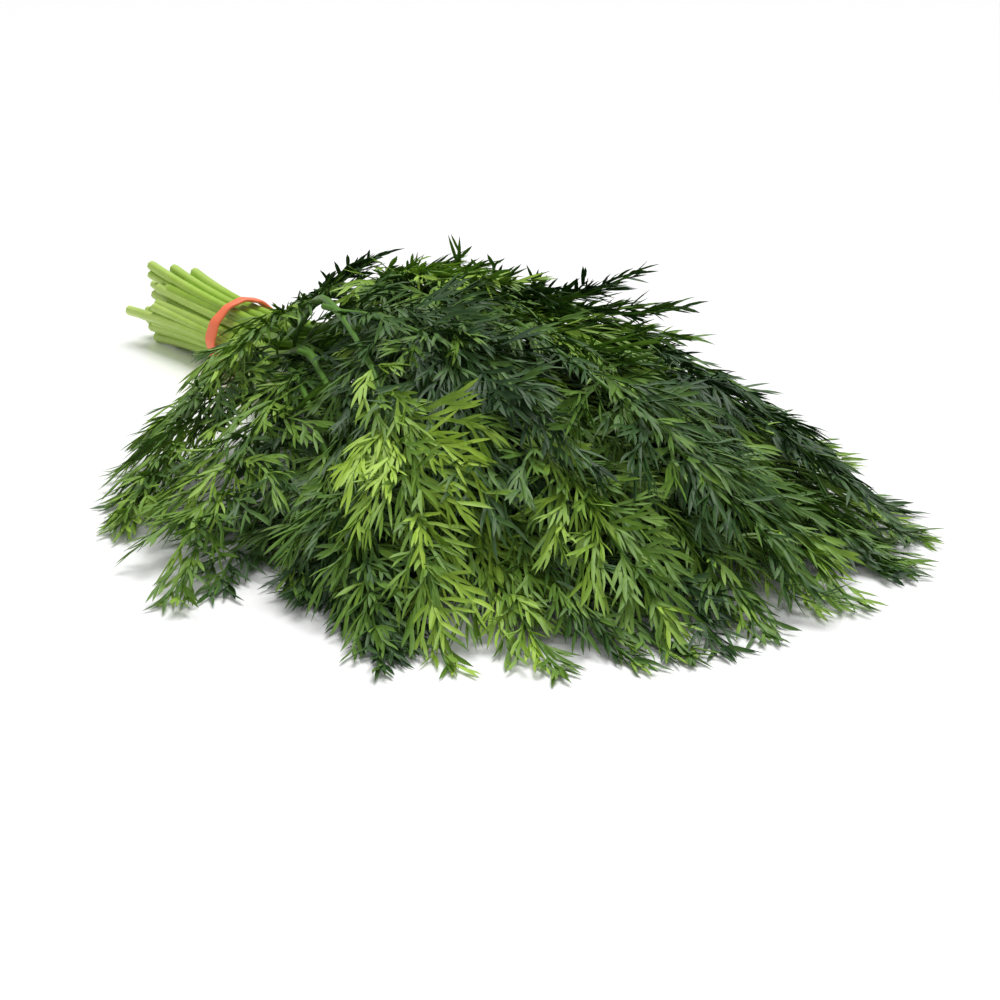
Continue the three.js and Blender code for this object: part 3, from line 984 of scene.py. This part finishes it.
class DillLeafSettings(bpy.types.PropertyGroup):
    """Sizes of the finest parts of the leaves."""

    segment_width: FloatProperty(
        name="Segment width", description="Width of the ribbons", default=0.00118, unit="LENGTH"
    )
    longest_segment: FloatProperty(
        name="Longest segment", description="The longest ribbon", default=0.019, unit="LENGTH"
    )
    shortest_segment: FloatProperty(
        name="Shortest segment", description="The shortest ribbon", default=0.0085, unit="LENGTH"
    )
    spacing: FloatProperty(
        name="Spacing", description="Between pairs of ribbons", default=0.0064, unit="LENGTH"
    )
    thickness: FloatProperty(
        name="Thickness",
        description="A ribbon's thickness at its middle, as a share of its half width",
        default=RIBBON_THICKNESS,
        subtype="FACTOR",
    )
    channel: FloatProperty(
        name="Channel depth",
        description="How far a ribbon's edges stand above its middle, as a share of its half width",
        default=RIBBON_CHANNEL,
        subtype="FACTOR",
    )


class DillColours(bpy.types.PropertyGroup):
    """Colours of the bunch, as sRGB hex values."""

    dark: StringProperty(name="Dark leaf", description="Older leaves, in hex", default="1f3a20")
    deep: StringProperty(name="Deep leaf", description="Most leaves, in hex", default="3a5c28")
    mid: StringProperty(name="Mid leaf", description="Lighter leaves, in hex", default="678c30")
    young: StringProperty(name="Young leaf", description="Young leaves, in hex", default="a8cb48")
    tip: StringProperty(name="Leaf tip", description="Dried leaf points, in hex", default="2c3a18")
    cut: StringProperty(name="Cut end", description="Stalks at the cut, in hex", default="bfd777")
    pith: StringProperty(name="Pith", description="Faces of the cut, in hex", default="e3ecb8")
    stalk: StringProperty(name="Stalk", description="Stalks by the band, in hex", default="9cc043")
    rib: StringProperty(name="Rib", description="Ribs among the leaves, in hex", default="55802b")
    band: StringProperty(name="Rubber band", description="The band, in hex", default="fb7346")


class DillStageSettings(bpy.types.PropertyGroup):
    """The worktop, the lights and the camera."""

    worktop: StringProperty(name="Worktop", description="The worktop, in hex", default="fefefe")
    surround: FloatProperty(
        name="Surround", description="Strength of the white surround", default=0.36
    )
    key: FloatProperty(
        name="Key light", description="Strength of the overhead softbox", default=2.9
    )
    fill: FloatProperty(name="Fill light", description="Strength of the side softbox", default=0.5)
    azimuth: FloatProperty(
        name="Azimuth",
        description="Camera's way round the bunch",
        default=math.radians(55),
        subtype="ANGLE",
    )
    elevation: FloatProperty(
        name="Elevation",
        description="Camera's height above the horizon",
        default=math.radians(20),
        subtype="ANGLE",
    )
    distance: FloatProperty(
        name="Distance", description="From the camera to its target", default=0.849, unit="LENGTH"
    )
    lens: FloatProperty(
        name="Lens", description="Focal length in millimetres on a 36 mm sensor", default=103.68
    )


def band_middle():
    """The middle of the rubber band, in the part's own frame, in metres."""
    low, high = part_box("rubber_band")
    return (low + high) / 2


def loose_sprays(stem):
    """The sprays of a stem that stand clear of the heap."""
    sprays = []
    for number, start, turn, curl, length, lift in LOOSE_SPRAYS:
        if number == stem.index + 1:
            sprays.append(Frond(stem, start, turn, curl, length, lift, 0))
    return sprays


def bunch_stems():
    """The stems of the bunch, with the fronds that their solids have."""
    middle = band_middle()
    band_centre = middle.z / MM
    origin = Vector((middle.x, middle.y, 0))
    stems = []
    for row, count in enumerate(ROWS):
        for column in range(count):
            stem = Stem(row, column, len(stems), band_centre)
            stem.grow()
            corners = np.array([v.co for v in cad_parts[stem.node].data.vertices], float)
            corners = (corners - np.array(origin)) / MM
            stem.fronds = [f for f in stem.fronds if f.settle(corners)]
            stem.sprays = loose_sprays(stem)
            stems.append(stem)
    return stems, origin


def leaf_sizes(settings):
    """The leaf settings in millimetres."""
    half_width = settings.segment_width / MM / 2
    return {
        "segment": half_width,
        "axis": half_width * AXIS_WIDTH,
        "longest": settings.longest_segment / MM,
        "shortest": settings.shortest_segment / MM,
        "spacing": settings.spacing / MM,
    }


def stem_skeleton(stem, sizes, draw):
    """The chains of points of one leafy stem: its stalk, its leaf stalks, its ribs and ribbons."""
    skeleton = Skeleton()
    up = np.array([0.0, 0.0, 1.0])

    def add_stalk(line, radii, tones):
        faces = across_faces(line, up, 0.0)
        skeleton.add(line, faces, radii, draw.uniform(*tones), 0.0, True)

    points, radii = stalk_chain(stem)
    add_stalk(points[None], radii[None], STALK_TONE)
    for points, radii in petiole_chains(stem, draw):
        add_stalk(points[None], radii[None], PETIOLE_TONE)
    for frond in stem.fronds + stem.sprays:
        # Each frond's tone differs at random. Fronds higher in the heap are also painted lighter
        # and lower ones darker, as painted light and painted shade.
        tone_and_light = draw.choice(FROND_TONES) + draw.uniform(*FROND_TONE_STRAY) + LEVEL_PAINTED_LIGHT * stem.level
        axes, segments = grow_leaf(frond, sizes, tone_and_light, draw)
        along = np.linspace(RIB_FOOT, frond.length, RIB_POINTS)[None]
        line = frond.place(along, np.zeros_like(along))
        line[..., 2] = above_worktop(line[..., 2], RIB_GAP)
        taper = np.clip(along / frond.length, 0, 1) ** RIB_TAPER
        add_stalk(line, lerp(*RIB_RADII, taper), RIB_TONE)
        long_ones = [strand for strand in segments if strand.length > SHORT_LENGTH]
        short_ones = [strand for strand in segments if strand.length <= SHORT_LENGTH]
        for strands, profile in (
            (axes, AXIS_PROFILE), (long_ones, LONG_PROFILE), (short_ones, SHORT_PROFILE)
        ):
            gaps = np.array([draw.uniform(*FLOOR_GAPS) for _ in strands])[:, None]
            skeleton.add(*strand_chains(frond, strands, profile, gaps), False)
    return skeleton


def solid_piece(name, mesh, tree, sockets, values):
    """A piece made of the mesh by the geometry nodes, as a plain mesh."""
    piece = bpy.data.objects.new(name, mesh)
    bpy.context.scene.collection.objects.link(piece)
    nodes = piece.modifiers.new("Grow", "NODES")
    nodes.node_group = tree
    for key, value in values.items():
        nodes[sockets[key]] = value
    evaluated = piece.evaluated_get(bpy.context.evaluated_depsgraph_get())
    grown = bpy.data.meshes.new_from_object(evaluated)
    piece.modifiers.clear()
    piece.data = grown
    grown.name = name
    bpy.data.meshes.remove(mesh)
    return piece


def waves(table, turn):
    """The sum of the waves of a table at an angle round the band."""
    return sum(size * math.sin(count * turn + start) for size, count, start in table)


def squared(value, power):
    """A sine or cosine drawn towards 1 or -1, which makes an ellipse squarer."""
    return math.copysign(abs(value) ** power, value)


def band_mesh(name, middle, outer):
    """A flat rubber ring with soft edges, stretched round the bundle: it dips, leans and twists."""
    points = []
    for turn in np.linspace(0, 2 * math.pi, BAND_STEPS, endpoint=False):
        width = BAND_WIDTH / 2 * (1 + waves(BAND_SWELL, turn))
        wander = waves(BAND_WANDER, turn)
        press = BAND_DIP * math.sin(BAND_DIPS * turn) ** 2
        twist = waves(BAND_TWIST, turn)
        for corner in np.linspace(0, 2 * math.pi, BAND_CORNERS, endpoint=False):
            off = width * squared(math.cos(corner), BAND_SQUARENESS[0])
            thick = BAND_THICKNESS / 2 * squared(math.sin(corner), BAND_SQUARENESS[1])
            x = wander + off * math.cos(twist) - thick * math.sin(twist)
            out = off * math.sin(twist) + thick * math.cos(twist)
            radius = outer - BAND_THICKNESS / 2 - press + out
            height = middle.z / MM + radius * math.sin(turn)
            points.append((x, radius * math.cos(turn), max(BAND_LIFT, height)))
    faces = []
    for i in range(BAND_STEPS):
        for j in range(BAND_CORNERS):
            here = i * BAND_CORNERS
            beyond = (i + 1) % BAND_STEPS * BAND_CORNERS
            beside = (j + 1) % BAND_CORNERS
            faces.append((here + j, here + beside, beyond + beside, beyond + j))
    mesh = bpy.data.meshes.new(name)
    place = np.array(points) * MM + np.array((middle.x, middle.y, 0))
    mesh.from_pydata(place.tolist(), [], faces)
    mesh.shade_smooth()
    shell = bmesh.new()
    shell.from_mesh(mesh)
    bmesh.ops.recalc_face_normals(shell, faces=shell.faces)
    shell.to_mesh(mesh)
    shell.free()
    return mesh


class DILL_OT_camera(bpy.types.Operator):
    """Puts the camera at the photograph's viewing angle"""

    bl_idname = "dill.camera"
    bl_label = "Place camera"

    def execute(self, context):
        stage = context.scene.dill_stage
        middle = band_middle()
        target = Vector((middle.x + CAMERA_AIM[0], middle.y + CAMERA_AIM[1], 0))
        way = stage.azimuth
        level = math.cos(stage.elevation)
        height = math.sin(stage.elevation)
        back = Vector((math.sin(way) * level, -math.cos(way) * level, height))
        camera = bpy.data.objects.new("Camera", bpy.data.cameras.new("Camera"))
        context.scene.collection.objects.link(camera)
        camera.data.lens = stage.lens
        camera.data.sensor_width = SENSOR_WIDTH
        camera.data.clip_start = NEAREST
        camera.data.clip_end = FARTHEST
        camera.location = target + back * stage.distance
        camera.rotation_euler = (-back).to_track_quat("-Z", "Y").to_euler()
        context.scene.camera = camera
        return {"FINISHED"}


class DILL_OT_leafy_stems(bpy.types.Operator):
    """Grows the leafy stems, one piece for each"""

    bl_idname = "dill.leafy_stems"
    bl_label = "Grow leafy stems"

    def execute(self, context):
        settings = context.scene.dill_leaves
        colours = context.scene.dill_colours
        stems, origin = bunch_stems()
        tree, sockets = leaf_tree()
        cut_x = origin.x - (STALK_TAIL + TAIL_STAGGER) * MM
        values = {
            "thickness": settings.thickness,
            "channel": settings.channel,
            "flutes": STALK_RIBS,
            "groove": STALK_GROOVE,
            "leaf": leaf_material(colours),
            "stalk": stalk_material(colours, cut_x),
        }
        sizes = leaf_sizes(settings)
        for stem in stems:
            skeleton = stem_skeleton(stem, sizes, random.Random(stem.index + 1))
            name = stem.node + "_grown"
            chains = skeleton.mesh(name + "_chains", origin)
            piece = solid_piece(name, chains, tree, sockets, values)
            if not piece.data.polygons:
                raise RuntimeError(f"{name} has no faces")
            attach(piece, "root")
            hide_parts(stem.node)
        return {"FINISHED"}


class DILL_OT_rubber_band(bpy.types.Operator):
    """Stretches the rubber band round the stalks"""

    bl_idname = "dill.rubber_band"
    bl_label = "Stretch rubber band"

    def execute(self, context):
        low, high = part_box("rubber_band")
        outer = (high.y - low.y) / 2 / MM
        mesh = band_mesh("rubber_band_stretched", (low + high) / 2, outer)
        band = bpy.data.objects.new("rubber_band_stretched", mesh)
        band.data.materials.append(rubber_material(context.scene.dill_colours.band))
        context.scene.collection.objects.link(band)
        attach(band, "root")
        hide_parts("rubber_band")
        return {"FINISHED"}


class DILL_OT_stage(bpy.types.Operator):
    """Lays the worktop and sets up soft studio light"""

    bl_idname = "dill.stage"
    bl_label = "Set stage"

    def execute(self, context):
        stage = context.scene.dill_stage
        mesh = bpy.data.meshes.new("worktop")
        half = WORKTOP_HALF
        corners = [(-half, -half, 0), (half, -half, 0), (half, half, 0), (-half, half, 0)]
        mesh.from_pydata(corners, [], [(0, 1, 2, 3)])
        worktop = bpy.data.objects.new("worktop", mesh)
        worktop.data.materials.append(worktop_material(stage.worktop))
        context.scene.collection.objects.link(worktop)
        world = bpy.data.worlds.new("studio")
        world.use_nodes = True
        sky = world.node_tree.nodes["Background"]
        sky.inputs["Color"].default_value = (1, 1, 1, 1)
        sky.inputs["Strength"].default_value = stage.surround
        context.scene.world = world
        for name, (place, angle), strength in (
            ("overhead softbox", OVERHEAD_SOFTBOX, stage.key),
            ("side softbox", SIDE_SOFTBOX, stage.fill),
        ):
            light = bpy.data.objects.new(name, bpy.data.lights.new(name, "SUN"))
            light.data.angle = math.radians(angle)
            light.data.energy = strength
            light.rotation_euler = (-Vector(place)).to_track_quat("-Z", "Y").to_euler()
            context.scene.collection.objects.link(light)
        context.scene.view_settings.view_transform = "Standard"
        return {"FINISHED"}


class DILL_PT_panel(bpy.types.Panel):
    """Lists the steps and the settings of the bunch"""

    bl_label = "Dill bunch"
    bl_space_type = "VIEW_3D"
    bl_region_type = "UI"
    bl_category = "Dill"

    def draw(self, context):
        for operator in OPERATORS:
            self.layout.operator(operator.bl_idname)
        for key in SETTINGS:
            group = getattr(context.scene, key)
            for name in group.__annotations__:
                self.layout.prop(group, name)


SETTINGS = {
    "dill_leaves": DillLeafSettings,
    "dill_colours": DillColours,
    "dill_stage": DillStageSettings,
}
OPERATORS = (DILL_OT_camera, DILL_OT_leafy_stems, DILL_OT_rubber_band, DILL_OT_stage)


def register():
    for group in SETTINGS.values():
        bpy.utils.register_class(group)
    for key, group in SETTINGS.items():
        setattr(bpy.types.Scene, key, PointerProperty(type=group))
    for operator in (*OPERATORS, DILL_PT_panel):
        bpy.utils.register_class(operator)


def unregister():
    for operator in (DILL_PT_panel, *reversed(OPERATORS)):
        bpy.utils.unregister_class(operator)
    for key, group in SETTINGS.items():
        delattr(bpy.types.Scene, key)
        bpy.utils.unregister_class(group)


def main():
    register()
    bpy.ops.dill.camera()
    bpy.ops.dill.leafy_stems()
    bpy.ops.dill.rubber_band()
    bpy.ops.dill.stage()


if __name__ == "__main__":
    main()
